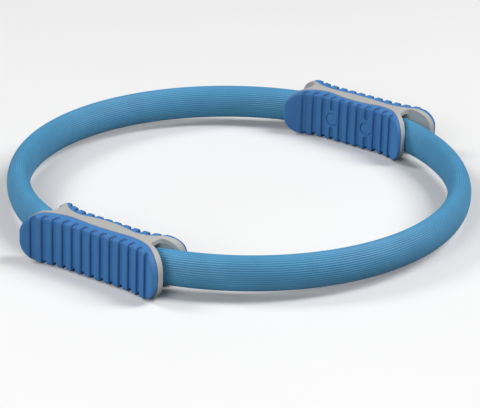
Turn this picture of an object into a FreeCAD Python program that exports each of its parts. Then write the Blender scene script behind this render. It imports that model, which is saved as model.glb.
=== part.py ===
"""Pilates ring: a sprung hoop in an oval sleeve, with two padded grips opposite each other.

The ring lies flat. X runs through both grips, with the right grip at +X and the left grip at -X.
The back half of the hoop is at +Y and the front half at -Y. Z is up, and its zero is the surface
that the grips stand on, under the middle of the hoop. Each piece is drawn around the hoop's mid
plane, then lifted by half the height of the grips.
"""
import FreeCAD, Part
import math
import os
import re

import Sketcher
from FreeCAD import Placement, Rotation, Vector

# Driving dimensions in millimetres, and counts.
SIZES = {
    # The hoop: its centre line, the oval sleeve, and the flat spring strip inside the sleeve.
    # The strip bends a little tighter near its ends, into a straight tang that the grip clamps.
    "hoop_radius": 176,
    "sleeve_width": 18.8,
    "sleeve_height": 28,
    "core_thickness": 3,
    "core_height": 20,
    "core_bend_radius": 60,
    "tang_gap": 1,
    # The grip's two shells meet at the tang's mid plane. At the waist they are thick webs, and past
    # the web each is a plate that flares away from the hoop. The seat that a pad sits on is crowned
    # in the middle, dips to a neck at each side of the crown, and flares to straight tips.
    "grip_height": 40,
    "waist_inset": 4,
    "web_length": 94,
    "notch_fillet": 4,
    "neck_place": 27,
    "outer_wall": 4.9,
    "outer_dip": 1.4,
    "outer_flare_radius": 45,
    "outer_tip_slope": 0.59,
    "outer_length": 130.4,
    "outer_corner": 17,
    "inner_wall": 6.9,
    "inner_dip": 3.4,
    "inner_flare_radius": 24,
    "inner_tip_slope": 0.87,
    "inner_length": 117.6,
    "inner_corner": 15,
    # The plates' backs and the pads' fronts are straight in the middle and flare at both ends.
    "outer_straight": 50,
    "outer_back_wall": 1.9,
    "outer_back_radius": 78,
    "inner_straight": 48,
    "inner_back_wall": 2.5,
    "inner_back_radius": 48,
    "trim_margin": 3,
    # The pads: thickness over the ribs and the crown, the radius of the front's flared ends, and the
    # grooves. A groove reaches back over the pad's top and bottom, where it is cut by its drop.
    "outer_pad_thickness": 10.5,
    "outer_pad_radius": 95,
    "outer_groove_depth": 2.4,
    "outer_groove_reach": 5.5,
    "outer_groove_pitch": 9,
    "outer_grooves": 13,
    "inner_pad_thickness": 6.6,
    "inner_pad_radius": 48,
    "inner_groove_depth": 2.1,
    "inner_groove_reach": 3.8,
    "inner_groove_pitch": 8.7,
    "inner_grooves": 11,
    "groove_width": 3.9,
    "groove_drop": 2.2,
    "pad_edge": 3,
    "pad_inset": 0.6,
    # The screws, their inserts and the plugs over them lie this many grooves from the grip's middle.
    "screw_groove": 2,
    "screw_diameter": 4,
    "head_diameter": 8,
    "head_height": 2.6,
    "head_seat": 2.9,
    "socket_width": 3,
    "socket_depth": 1.5,
    "insert_diameter": 6.4,
    "insert_recess": 1.2,
    "plug_diameter": 11,
    "plug_edge": 0.6,
    "boss_wall": 2,
    # Clearances: between the hoop and the grips, and between pieces that fit in each other.
    "part_gap": 0.3,
    "fit_gap": 0.05,
}

PARTING = "(hoop_radius - waist_inset)"
OUTER_CROWN = f"({PARTING} + outer_wall)"
INNER_CROWN = f"({PARTING} - inner_wall)"
WEB_HALF = "(web_length / 2)"
SCREW_PLACE = "(screw_groove * inner_groove_pitch)"
MID_HEIGHT = "(grip_height / 2)"
SLOT_HALF = "(core_thickness / 2 + part_gap)"
SLOT_HEIGHT = "(core_height + 2 * part_gap)"
SEAT = f"({INNER_CROWN} + head_seat)"
SCREW_LENGTH = "(inner_wall - head_seat + outer_wall - insert_recess)"

# The tang runs straight to BEND_START, and its bend joins the hoop at the angle of BEND_COS.
BEND_COS = "(1 - waist_inset / (hoop_radius - core_bend_radius))"
BEND_SIN = f"sqrt(1 - {BEND_COS} ^ 2)"
BEND_START = f"((hoop_radius - core_bend_radius) * {BEND_SIN})"

WITH_CLOCK = -1
AGAINST_CLOCK = 1
NEAR = 0.01

doc = FreeCAD.newDocument("pilates_ring")
sheet = doc.addObject("Spreadsheet::Sheet", "Sheet")
for row, (alias, size) in enumerate(SIZES.items(), start=1):
    sheet.set(f"A{row}", alias)
    sheet.set(f"B{row}", str(size))
    sheet.setAlias(f"B{row}", alias)
doc.recompute()

ALIAS = re.compile(r"\b(" + "|".join(SIZES) + r")\b")


def cells(formula):
    """The formula with the sheet's name in front of each of its cells."""
    return ALIAS.sub(r"Sheet.\1", str(formula))


def value(formula):
    """What the formula comes to, as a plain number."""
    result = sheet.evalExpression(cells(formula))
    return float(getattr(result, "Value", result))


class Face:
    """Plan line that is straight in the middle, then at each end an arc away from the hoop.

    side is 1 for the outer side of the grip and -1 for the inner side.
    """

    def __init__(self, side, level, straight, radius):
        self.side = side
        self.level = level
        self.half = f"({straight} / 2)"
        self.radius = f"({radius})"

    def at(self, along):
        """How far out the line is, at a distance along the grip from its middle."""
        past = f"max(0; {along} - {self.half})"
        rise = f"({self.radius} - sqrt({self.radius} ^ 2 - ({past}) ^ 2))"
        return f"({self.level} + {self.side} * {rise})"

    def line(self, half_length):
        """Corners of the line, from the grip's back end to its front end."""
        return [
            (self.at(half_length), half_length, self.radius, self.side),
            (self.level, self.half),
            (self.level, f"-{self.half}", self.radius, self.side),
            (self.at(half_length), f"-{half_length}"),
        ]


class Seat:
    """Plan line that a pad sits on: a crown, a neck at each side of it, then flares to straight tips.

    The crown and each flare are arcs that meet at one slope, between the crown's middle and the neck.
    """

    def __init__(self, name, side, level):
        self.side = side
        self.radius = f"{name}_flare_radius"
        self.slope = f"{name}_tip_slope"
        dip = f"{name}_dip"
        fall = f"({dip} / neck_place)"
        meet_sin = f"(2 * {fall} / (1 + {fall} ^ 2))"
        meet_cos = f"((1 - {fall} ^ 2) / (1 + {fall} ^ 2))"
        self.crown = f"(neck_place / {meet_sin} - {self.radius})"
        self.meet = f"({level} - {side} * {self.crown} * (1 - {meet_cos}))"
        self.meet_place = f"({self.crown} * {meet_sin})"
        tip_cos = f"(1 / sqrt(1 + {self.slope} ^ 2))"
        self.flare = f"({level} + {side} * ({self.radius} * (1 - {tip_cos}) - {dip}))"
        self.flare_place = f"(neck_place + {self.radius} * {self.slope} * {tip_cos})"

    def line(self, half_length):
        """Corners of the line, from the grip's front end to its back end."""
        tip = f"({self.flare} + {self.side} * {self.slope} * ({half_length} - {self.flare_place}))"
        turn = -self.side
        return [
            (tip, f"-{half_length}"),
            (self.flare, f"-{self.flare_place}", self.radius, turn),
            (self.meet, f"-{self.meet_place}", self.crown, -turn),
            (self.meet, self.meet_place, self.radius, turn),
            (self.flare, self.flare_place),
            (tip, half_length),
        ]


class Side:
    """The named sizes of one side of the grip, and the plan lines that its shell and pad share."""

    def __init__(self, name, side, seat_level):
        self.name = name
        self.side = side
        self.half_length = f"({name}_length / 2)"
        self.corner = f"{name}_corner"
        self.depth = f"{name}_groove_depth"
        self.reach = f"{name}_groove_reach"
        self.pitch = f"{name}_groove_pitch"
        self.grooves = f"{name}_grooves"
        straight = f"{name}_straight"
        back_radius = f"{name}_back_radius"
        back_level = f"({PARTING} + {side} * {name}_back_wall)"
        clear_level = f"({back_level} - {side} * part_gap)"
        front_level = f"({seat_level} + {side} * {name}_pad_thickness)"
        self.seat = Seat(name, side, seat_level)
        self.back = Face(side, back_level, straight, back_radius)
        self.clear = Face(side, clear_level, straight, f"{back_radius} + part_gap")
        self.front = Face(side, front_level, straight, f"{name}_pad_radius")


OUTER = Side("outer", 1, OUTER_CROWN)
INNER = Side("inner", -1, INNER_CROWN)


def new_body(label):
    body = doc.addObject("PartDesign::Body", label)
    body.Label = label
    return body


def hold(sketch, kind, where, formula):
    """Keeps one measure of a sketch equal to a formula of the sheet's cells."""
    number = value(formula)
    index = sketch.addConstraint(Sketcher.Constraint(kind, *where, number))
    sketch.setExpression(f"Constraints[{index}]", cells(formula))


def pin(sketch, edge, point, x, y):
    """Keeps a point of a sketch at x and y, or on the axis where one of them is zero."""
    for kind, axis, formula in (("DistanceX", -2, x), ("DistanceY", -1, y)):
        if formula == "0":
            sketch.addConstraint(Sketcher.Constraint("PointOnObject", edge, point, axis))
        else:
            hold(sketch, kind, (edge, point), formula)


def arc_between(start, finish, radius, turn):
    """Arc of less than half a turn from start to finish."""
    chord = finish - start
    middle = (start + finish) / 2
    height = math.sqrt(max(radius ** 2 - (chord.Length / 2) ** 2, 0))
    left = Vector(-chord.y, chord.x, 0).normalize()
    centre = middle + left * height * turn
    angles = [math.atan2(end.y - centre.y, end.x - centre.x) for end in (start, finish)][::turn]
    return Part.ArcOfCircle(Part.Circle(centre, Vector(0, 0, 1), radius), *angles)


def trace(sketch, outline):
    """Draws one closed outline and keeps its corners and radii bound to the sheet.

    A corner is (x, y), or (x, y, radius, turn) where an arc leaves it.
    """
    points = [Vector(value(corner[0]), value(corner[1]), 0) for corner in outline]
    edges = []
    for index, corner in enumerate(outline):
        start = points[index]
        finish = points[(index + 1) % len(points)]
        if len(corner) == 2:
            edge = sketch.addGeometry(Part.LineSegment(start, finish))
            edges.append((edge, 1, 2))
        else:
            radius, turn = corner[2:]
            edge = sketch.addGeometry(arc_between(start, finish, value(radius), turn))
            edges.append((edge, 1, 2) if turn == AGAINST_CLOCK else (edge, 2, 1))
    for index, corner in enumerate(outline):
        edge, start, _ = edges[index]
        previous, _, finish = edges[index - 1]
        sketch.addConstraint(Sketcher.Constraint("Coincident", previous, finish, edge, start))
        pin(sketch, edge, start, corner[0], corner[1])
        if len(corner) > 2:
            hold(sketch, "Radius", (edge,), corner[2])


def new_sketch(body, role, name, outlines=(), circles=(), away="0"):
    """Sketch on one of the body's own planes, moved along the plane's normal by away."""
    sketch = body.newObject("Sketcher::SketchObject", f"{body.Name}_{name}")
    plane = next(item for item in body.Origin.OriginFeatures if item.Role == role)
    sketch.AttachmentSupport = [(plane, "")]
    sketch.MapMode = "FlatFace"
    sketch.setExpression("AttachmentOffset.Base.z", cells(away))
    for outline in outlines:
        trace(sketch, outline)
    for x, y, diameter in circles:
        centre = Vector(value(x), value(y), 0)
        circle = sketch.addGeometry(Part.Circle(centre, Vector(0, 0, 1), value(diameter) / 2))
        pin(sketch, circle, 3, x, y)
        hold(sketch, "Diameter", (circle,), diameter)
    return sketch


def pad(body, sketch, length, both_ways=True):
    feature = body.newObject("PartDesign::Pad", f"{sketch.Name}_pad")
    feature.Profile = sketch
    feature.SideType = "Symmetric" if both_ways else "One side"
    feature.setExpression("Length", cells(length))
    doc.recompute()
    return feature


def pocket(body, sketch, length=None, both_ways=True):
    """Cuts both ways from the sketch by half the length each way, or right through, or cuts one way."""
    feature = body.newObject("PartDesign::Pocket", f"{sketch.Name}_pocket")
    feature.Profile = sketch
    feature.SideType = "Symmetric" if both_ways else "One side"
    if length is None:
        feature.Type = "ThroughAll"
    else:
        feature.setExpression("Length", cells(length))
    doc.recompute()
    return feature


def revolve(body, sketch, angle):
    """Turns the sketch about its own upright axis, half the angle each way."""
    feature = body.newObject("PartDesign::Revolution", f"{sketch.Name}_revolution")
    feature.Profile = sketch
    feature.ReferenceAxis = (sketch, ["V_Axis"])
    feature.Midplane = True
    feature.setExpression("Angle", cells(angle))
    doc.recompute()
    return feature


def fillet(body, base, chosen, radius):
    """Rounds the edges of the base feature that chosen() accepts."""
    names = [f"Edge{i}" for i, edge in enumerate(base.Shape.Edges, start=1) if chosen(edge)]
    feature = body.newObject("PartDesign::Fillet", f"{base.Name}_fillet")
    feature.Base = (base, names)
    feature.setExpression("Radius", cells(radius))
    doc.recompute()
    return feature


def middle_of(edge):
    return edge.valueAt((edge.FirstParameter + edge.LastParameter) / 2)


def is_upright(edge):
    rise = abs(edge.Vertexes[0].Z - edge.Vertexes[-1].Z)
    return abs(rise - edge.Length) < NEAR


def box(half_width, half_height):
    return [
        (f"-{half_width}", f"-{half_height}"),
        (half_width, f"-{half_height}"),
        (half_width, half_height),
        (f"-{half_width}", half_height),
    ]


def rounded_box(half_width, half_height, radius):
    across = f"({half_width} - {radius})"
    up = f"({half_height} - {radius})"
    return [
        (f"-{across}", f"-{half_height}"),
        (across, f"-{half_height}", radius, AGAINST_CLOCK),
        (half_width, f"-{up}"),
        (half_width, up, radius, AGAINST_CLOCK),
        (across, half_height),
        (f"-{across}", half_height, radius, AGAINST_CLOCK),
        (f"-{half_width}", up),
        (f"-{half_width}", f"-{up}", radius, AGAINST_CLOCK),
    ]


def trim_to_outline(body, side, inset="0"):
    """Cuts away what lies outside the rounded outline that the grip shows from the front, or inside it."""
    sizes = [f"({size} - {inset})" for size in (side.half_length, MID_HEIGHT, side.corner)]
    frame = [
        box(f"{side.name}_length", "grip_height"),
        rounded_box(*sizes),
    ]
    return pocket(body, new_sketch(body, "YZ_Plane", "outline", frame))


def backwards(line):
    """The same corners in the other order, with each arc leaving from its other end."""
    corners = []
    for index in range(len(line) - 1, -1, -1):
        arc = line[index - 1][2:] if index else ()
        corners.append(line[index][:2] + tuple(arc[:1]) + tuple(-turn for turn in arc[1:]))
    return corners


def core(label):
    """Spring strip of one half hoop, with a drilled tang at each end."""
    body = new_body(label)
    end = "(tang_gap / 2)"

    def long_edge(way):
        """One long edge of the strip, from the right tang's end round to the left tang's end."""
        tang = f"({PARTING} + {way} * core_thickness / 2)"
        hoop = f"(hoop_radius + {way} * core_thickness / 2)"
        bend = f"(core_bend_radius + {way} * core_thickness / 2)"
        return [
            (tang, end),
            (tang, BEND_START, bend, AGAINST_CLOCK),
            (f"{hoop} * {BEND_COS}", f"{hoop} * {BEND_SIN}", hoop, AGAINST_CLOCK),
            (f"-{hoop} * {BEND_COS}", f"{hoop} * {BEND_SIN}", bend, AGAINST_CLOCK),
            (f"-{tang}", BEND_START),
            (f"-{tang}", end),
        ]

    outline = long_edge(1) + backwards(long_edge(-1))
    pad(body, new_sketch(body, "XY_Plane", "plan", [outline]), "core_height")
    hole = (SCREW_PLACE, "0", "screw_diameter + 2 * part_gap")
    pocket(body, new_sketch(body, "YZ_Plane", "hole", circles=[hole]))
    return body


def sleeve(label):
    """Oval sleeve of one half hoop, with a slot for the strip. Its ends stand clear of the webs."""
    body = new_body(label)
    slot = [(f"hoop_radius + {x}", y) for x, y in box(SLOT_HALF, f"{SLOT_HEIGHT} / 2")]
    sketch = new_sketch(body, "YZ_Plane", "section", [slot])
    centre = Vector(value("hoop_radius"), 0, 0)
    top = centre + Vector(0, value("sleeve_height / 2"), 0)
    rim = centre + Vector(value("sleeve_width / 2"), 0, 0)
    oval = sketch.addGeometry(Part.Ellipse(top, rim, centre))
    sketch.exposeInternalGeometry(oval)
    long_axis = oval + 1
    short_axis = oval + 2
    pin(sketch, oval, 3, "hoop_radius", "0")
    sketch.addConstraint(Sketcher.Constraint("Vertical", long_axis))
    hold(sketch, "Distance", (long_axis,), "sleeve_height")
    hold(sketch, "Distance", (short_axis,), "sleeve_width")
    hidden = f"asin(({WEB_HALF} + part_gap) / (hoop_radius - sleeve_width / 2))"
    revolve(body, sketch, f"180 deg - 2 * {hidden}")
    trim_ends(body)
    return body


def trim_ends(body):
    """Cuts the inner corner off both ends of a sleeve, so that they fit between the grips' plates."""
    reach = f"({INNER.half_length} + trim_margin)"
    deep = f"({PARTING} - {reach})"
    corners = []
    for way in (1, -1):
        corners.append([
            (f"{way} * {INNER.clear.at(reach)}", reach, INNER.clear.radius, way * WITH_CLOCK),
            (f"{way} * {INNER.clear.at(WEB_HALF)}", WEB_HALF),
            (f"{way} * {deep}", WEB_HALF),
            (f"{way} * {deep}", reach),
        ])
    pocket(body, new_sketch(body, "XY_Plane", "ends", corners))


def strip_channel(side):
    """Plan of the strip's channel in one shell, which opens at the parting and at both ends."""
    reach = side.half_length
    tang = f"({PARTING} + {side.side} * {SLOT_HALF})"
    hoop = f"(hoop_radius + {side.side} * {SLOT_HALF})"
    bend = f"(core_bend_radius + {side.side} * {SLOT_HALF})"
    hoop_end = f"sqrt({hoop} ^ 2 - {reach} ^ 2)"
    open_side = f"({PARTING} - {side.side} * {reach})"
    return [
        (hoop_end, f"-{reach}", hoop, AGAINST_CLOCK),
        (f"{hoop} * {BEND_COS}", f"-{hoop} * {BEND_SIN}", bend, AGAINST_CLOCK),
        (tang, f"-{BEND_START}"),
        (tang, BEND_START, bend, AGAINST_CLOCK),
        (f"{hoop} * {BEND_COS}", f"{hoop} * {BEND_SIN}", hoop, AGAINST_CLOCK),
        (hoop_end, reach),
        (open_side, reach),
        (open_side, f"-{reach}"),
    ]


def shell(label, side, hole_diameter):
    """One half of the grip's grey shell: a web at the waist and a plate that flares at both ends."""
    body = new_body(label)
    length = side.half_length
    wall = side.back.at(WEB_HALF)
    turn = side.side
    outline = [
        (PARTING, f"-{WEB_HALF}"),
        (wall, f"-{WEB_HALF}", side.back.radius, turn),
        (side.back.at(length), f"-{length}"),
        *side.seat.line(length),
        (side.back.at(length), length, side.back.radius, turn),
        (wall, WEB_HALF),
        (PARTING, WEB_HALF),
    ]
    block = pad(body, new_sketch(body, "XY_Plane", "plan", [outline]), "grip_height")

    def in_notch(edge):
        middle = middle_of(edge)
        at_wall = abs(middle.x - value(wall)) < NEAR and abs(abs(middle.y) - value(WEB_HALF)) < NEAR
        return is_upright(edge) and at_wall

    fillet(body, block, in_notch, "notch_fillet")
    trim_to_outline(body, side)
    pocket(body, new_sketch(body, "XY_Plane", "channel", [strip_channel(side)]), SLOT_HEIGHT)
    holes = [(f"{way} * {SCREW_PLACE}", "0", hole_diameter) for way in (-1, 1)]
    pocket(body, new_sketch(body, "YZ_Plane", "holes", circles=holes))
    return body


def sink_seats(body):
    """Sinks a flat seat for each screw's head into the inner shell."""
    seats = [(f"{way} * {SCREW_PLACE}", "0", "head_diameter + 2 * part_gap") for way in (-1, 1)]
    sketch = new_sketch(body, "YZ_Plane", "seats", circles=seats, away=SEAT)
    pocket(body, sketch, "inner_pad_thickness", both_ways=False)


def grip_pad(label, side):
    """Rubber pad on one face of the grip: rounded rim, and grooves that leave ribs across it."""
    body = new_body(label)
    length = side.half_length
    outline = side.seat.line(length) + side.front.line(length)
    pad(body, new_sketch(body, "XY_Plane", "plan", [outline]), "grip_height")
    block = trim_to_outline(body, side, "pad_inset")

    def on_rim(edge):
        middle = middle_of(edge)
        level = value(side.front.at(abs(middle.y)))
        seam = is_upright(edge) and abs(abs(middle.y) - value(side.front.half)) < NEAR
        return abs(middle.x - level) < NEAR and not seam

    fillet(body, block, on_rim, "pad_edge")
    cut_grooves(body, side)
    return body


def groove_plan(side, depth):
    """Plan of a pad's grooves, cut to that depth below its front."""
    last = (int(value(side.grooves)) - 1) // 2
    outlines = []
    for step in range(-last, last + 1):
        middle = f"({step} * {side.pitch})"
        front = side.front.at(f"({abs(step)} * {side.pitch})")
        mouth = f"({front} + {side.side} * pad_edge)"
        floor = f"({front} - {side.side} * {depth})"
        outlines.append([
            (mouth, f"{middle} + groove_width / 2"),
            (floor, f"{middle} + groove_width / 2"),
            (floor, f"{middle} - groove_width / 2"),
            (mouth, f"{middle} - groove_width / 2"),
        ])
    return outlines


def cut_grooves(body, side):
    """Grooves across a pad's front, which go on over its top and its bottom and end there."""
    pocket(body, new_sketch(body, "XY_Plane", "grooves", groove_plan(side, side.depth)))
    top = f"({MID_HEIGHT} - pad_inset)"
    for name, start in (("top", top), ("bottom", f"(groove_drop - {top})")):
        sketch = new_sketch(body, "XY_Plane", f"{name}_grooves", groove_plan(side, side.reach), away=start)
        pocket(body, sketch, "groove_drop", both_ways=False)


def add_plug_holes(body):
    """Round bosses that stand in two grooves of the inner pad, with a hole through each."""
    middles = [f"{way} * {SCREW_PLACE}" for way in (-1, 1)]
    bosses = [(along, "0", "plug_diameter + 2 * boss_wall") for along in middles]
    away = INNER.front.level
    boss_sketch = new_sketch(body, "YZ_Plane", "bosses", circles=bosses, away=away)
    pad(body, boss_sketch, "inner_groove_depth + groove_width / 2", both_ways=False)
    holes = [(along, "0", "plug_diameter + 2 * fit_gap") for along in middles]
    pocket(body, new_sketch(body, "YZ_Plane", "plug_holes", circles=holes))


def turned(label, half_section):
    """Round piece about the Z axis, from half of its section in the XZ plane."""
    body = new_body(label)
    revolve(body, new_sketch(body, "XZ_Plane", "section", [half_section]), "360 deg")
    return body


def screw(label):
    """Socket screw. Its head stands below zero and its shank above, up to the insert's far end."""
    body = turned(label, [
        ("0", "-head_height"),
        ("head_diameter / 2", "-head_height"),
        ("head_diameter / 2", "0"),
        ("screw_diameter / 2", "0"),
        ("screw_diameter / 2", SCREW_LENGTH),
        ("0", SCREW_LENGTH),
    ])
    across = "(socket_width / 2)"
    point = f"({across} / cos(30))"
    socket = [
        (point, "0"),
        (f"{point} / 2", across),
        (f"-{point} / 2", across),
        (f"-{point}", "0"),
        (f"-{point} / 2", f"-{across}"),
        (f"{point} / 2", f"-{across}"),
    ]
    sketch = new_sketch(body, "XY_Plane", "socket", [socket], away="-head_height")
    pocket(body, sketch, "2 * socket_depth")
    return body


def insert(label):
    """Threaded insert in the outer shell, behind the tang."""
    bore = "(screw_diameter / 2 + fit_gap)"
    return turned(label, [
        (bore, "0"),
        ("insert_diameter / 2", "0"),
        ("insert_diameter / 2", f"outer_wall - {SLOT_HALF} - insert_recess"),
        (bore, f"outer_wall - {SLOT_HALF} - insert_recess"),
    ])


def plug(label):
    """Plug that closes the inner pad over a screw's head, with a small bevel round its face."""
    rim = "(plug_diameter / 2)"
    depth = "(inner_pad_thickness + head_seat - head_height - part_gap)"
    return turned(label, [
        ("0", "0"),
        (f"{rim} - plug_edge", "0"),
        (rim, "plug_edge"),
        (rim, depth),
        ("0", depth),
    ])


def place(body, turn, x="0", y="0", along_x=False):
    """Turns a finished piece about the hoop's axis and lifts it to its height."""
    if along_x:
        body.Placement = Placement(Vector(), Rotation(Vector(0, 0, 1), turn) * Rotation(Vector(0, 1, 0), 90))
    else:
        body.Placement = Placement(Vector(), Rotation(Vector(0, 0, 1), turn))
    way = -1 if turn else 1
    body.setExpression("Placement.Base.x", cells(f"{way} * {x}"))
    body.setExpression("Placement.Base.y", cells(f"{way} * {y}"))
    body.setExpression("Placement.Base.z", cells(MID_HEIGHT))


def hoop_half(name, turn):
    for build, piece in ((core, "core"), (sleeve, "sleeve")):
        place(build(f"{name}_{piece}"), turn)


def grip(name, turn):
    place(shell(f"{name}_outer_shell", OUTER, "insert_diameter + 2 * fit_gap"), turn)
    inner_shell = shell(f"{name}_inner_shell", INNER, "screw_diameter + 2 * part_gap")
    sink_seats(inner_shell)
    place(inner_shell, turn)
    place(grip_pad(f"{name}_outer_pad", OUTER), turn)
    inner_pad = grip_pad(f"{name}_inner_pad", INNER)
    add_plug_holes(inner_pad)
    place(inner_pad, turn)
    for way in (-1, 1):
        half = "back" if way == (-1 if turn else 1) else "front"
        along = f"{way} * {SCREW_PLACE}"
        place(screw(f"{name}_{half}_screw"), turn, SEAT, along, along_x=True)
        place(insert(f"{name}_{half}_insert"), turn, f"({PARTING} + {SLOT_HALF})", along, along_x=True)
        place(plug(f"{name}_{half}_plug"), turn, INNER.front.level, along, along_x=True)


HALF_TURN = 180
hoop_half("back", 0)
hoop_half("front", HALF_TURN)
grip("right", 0)
grip("left", HALF_TURN)
doc.recompute()

pieces = [item for item in doc.Objects if item.TypeId == "PartDesign::Body"]
failed = [item.Name for item in doc.Objects if "Invalid" in item.State or "Error" in item.State]
failed += [item.Name for item in pieces if item.Shape.isNull() or not item.Shape.isValid()]
if failed:
    raise ValueError(f"these did not build: {failed}")

os.makedirs("parts", exist_ok=True)
for piece in pieces:
    piece.Shape.exportStep(os.path.join("parts", f"{piece.Label}.step"))
    print(piece.Label, len(piece.Shape.Solids), "solid,", round(piece.Shape.Volume / 1000, 2), "cm3")
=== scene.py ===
# %% [markdown]
# # Dressing a pilates ring
# The ring is a sprung hoop in a ribbed blue sleeve, with two padded grips opposite each other. The packed
# model holds its pieces at their real size, in metres, with Z up and the ring lying flat. This lesson loads
# that model as a fixed frame and then makes each visible piece again, in its place in the frame, with the
# soft edges, ribs and finishes of the real thing.

# %% Load the frame
import math

import bmesh
import bpy
import numpy as np
from mathutils import Matrix, Vector


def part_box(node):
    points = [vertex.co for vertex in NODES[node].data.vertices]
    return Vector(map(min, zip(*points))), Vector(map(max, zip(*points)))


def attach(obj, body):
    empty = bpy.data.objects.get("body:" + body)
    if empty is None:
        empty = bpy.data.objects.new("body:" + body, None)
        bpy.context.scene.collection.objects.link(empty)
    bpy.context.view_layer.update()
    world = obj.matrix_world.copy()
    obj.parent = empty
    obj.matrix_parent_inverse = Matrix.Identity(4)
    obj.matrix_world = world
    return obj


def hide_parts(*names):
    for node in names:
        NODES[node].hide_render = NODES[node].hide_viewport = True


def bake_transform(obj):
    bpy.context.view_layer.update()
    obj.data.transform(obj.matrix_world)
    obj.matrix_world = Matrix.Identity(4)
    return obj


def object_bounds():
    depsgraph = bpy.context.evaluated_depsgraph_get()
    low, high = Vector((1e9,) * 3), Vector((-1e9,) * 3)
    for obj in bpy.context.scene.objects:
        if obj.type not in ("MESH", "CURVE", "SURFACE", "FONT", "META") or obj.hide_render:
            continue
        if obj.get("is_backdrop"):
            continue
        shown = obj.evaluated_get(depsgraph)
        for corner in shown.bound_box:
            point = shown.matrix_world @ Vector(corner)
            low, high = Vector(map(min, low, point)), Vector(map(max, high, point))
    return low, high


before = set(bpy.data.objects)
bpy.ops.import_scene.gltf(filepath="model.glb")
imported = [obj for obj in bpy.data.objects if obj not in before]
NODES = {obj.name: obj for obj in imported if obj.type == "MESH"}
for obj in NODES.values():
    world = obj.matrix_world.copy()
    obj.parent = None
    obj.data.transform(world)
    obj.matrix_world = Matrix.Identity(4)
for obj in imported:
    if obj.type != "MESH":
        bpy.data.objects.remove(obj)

CAD_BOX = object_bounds()
MM = 0.001

# %% [markdown]
# ## The sizes that the pieces share
# The X axis runs through both grips, which are the same, half a turn apart. In plan, the plates' backs and
# the pads' fronts are lines that are straight in the middle and curve away from the hoop at both ends. The
# seat between a plate and its pad has a crown in the middle, and a neck at each side of it. One small class
# holds the sizes of a side and works those lines out.

# %% Sizes of the hoop and of a grip's two sides
GRIP_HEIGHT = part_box("right_outer_shell")[1].z
MID_HEIGHT = GRIP_HEIGHT / 2
HOOP_RADIUS = 176 * MM
PARTING = HOOP_RADIUS - 4 * MM
NECK = 27 * MM
HANDS = {"right": 1, "left": -1}


def rise(along, straight, radius):
    """How far a plan line has curved away at a distance along the grip from its middle."""
    past = np.maximum(np.abs(along) - straight / 2, 0)
    return radius - np.sqrt(radius ** 2 - past ** 2)


class Side:
    """The outer (way 1) or inner (way -1) side of a grip. Its lines are distances from the ring's axis."""

    def __init__(self, name, way, **sizes):
        low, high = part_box(f"right_{name}_pad")
        self.name = name
        self.way = way
        self.half_length = (high.y - low.y) / 2
        self.half_height = (high.z - low.z) / 2
        self.slope = sizes.pop("tip_slope")
        for size, length in sizes.items():
            setattr(self, size, length * MM)
        self.corner -= GRIP_HEIGHT - high.z
        self.level = PARTING + way * self.wall
        # The crown's arc and the flare's arc touch at this angle, with the neck one dip below the crown.
        meet = 2 * math.atan(self.dip / NECK)
        self.crown = NECK / math.sin(meet) - self.flare
        self.meet_place = self.crown * math.sin(meet)
        self.flare_place = NECK + self.flare * math.sin(math.atan(self.slope))

    def seat(self, along):
        """The seat that the pad sits on: crown, neck, flare and straight tip."""
        along = np.abs(along)
        fall = rise(np.minimum(along, self.meet_place), 0, self.crown)
        past_neck = np.clip(along, self.meet_place, self.flare_place) - NECK
        climb = rise(past_neck, 0, self.flare) - rise(self.meet_place - NECK, 0, self.flare)
        tip = self.slope * np.maximum(along - self.flare_place, 0)
        return self.level + self.way * (climb + tip - fall)

    def back(self, along):
        """The back of the shell's plate."""
        return PARTING + self.way * (self.back_wall + rise(along, self.straight, self.back_flare))

    def front(self, along):
        """The front of the pad, over its ribs."""
        return self.level + self.way * (self.pad + rise(along, self.straight, self.pad_flare))

    def height(self, along):
        """Half of the pad's height, with the rounded corners that it shows from the front."""
        past = np.maximum(np.abs(along) - (self.half_length - self.corner), 0)
        return self.half_height - self.corner + np.sqrt(np.maximum(self.corner ** 2 - past ** 2, 0))


OUTER = Side(
    "outer", 1, wall=4.9, dip=1.4, flare=45, tip_slope=0.59, corner=17,
    straight=50, back_wall=1.9, back_flare=78, pad=10.5, pad_flare=95)
INNER = Side(
    "inner", -1, wall=6.9, dip=3.4, flare=24, tip_slope=0.87, corner=15,
    straight=48, back_wall=2.5, back_flare=48, pad=6.6, pad_flare=48)
print("grip height", round(GRIP_HEIGHT * 1000, 1), "mm, pads",
      round(OUTER.half_length * 2000, 1), "and", round(INNER.half_length * 2000, 1), "mm long")

# %% [markdown]
# ## One function for every node
# Materials and Geometry Nodes trees are both built from code here. A single helper makes a node, sets its
# properties, and fills its inputs: a value goes into the socket, and another node becomes a link. Colours are
# written as they look on a screen, so one function turns them into linear light.


# %% Helpers for node trees and colours
def add(tree, kind, inputs=None, **settings):
    """A new node with its settings. An input takes a value, a socket, or a node for its first output."""
    node = tree.nodes.new(kind)
    for name, setting in settings.items():
        setattr(node, name, setting)
    for key, source in (inputs or {}).items():
        if isinstance(source, bpy.types.Node):
            source = next(socket for socket in source.outputs if not socket.is_unavailable)
        if isinstance(source, bpy.types.NodeSocket):
            tree.links.new(source, node.inputs[key])
        else:
            node.inputs[key].default_value = source
    return node


def linear(code):
    """An sRGB hex colour such as #3366cc as linear light."""
    shades = [int(code[i:i + 2], 16) / 255 for i in (1, 3, 5)]
    light = [s / 12.92 if s <= 0.04045 else ((s + 0.055) / 1.055) ** 2.4 for s in shades]
    return (*light, 1.0)


# %% Helpers for materials
def new_material(name):
    """An empty node material and its tree."""
    material = bpy.data.materials.new(name)
    material.use_nodes = True
    material.node_tree.nodes.clear()
    return material, material.node_tree


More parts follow.
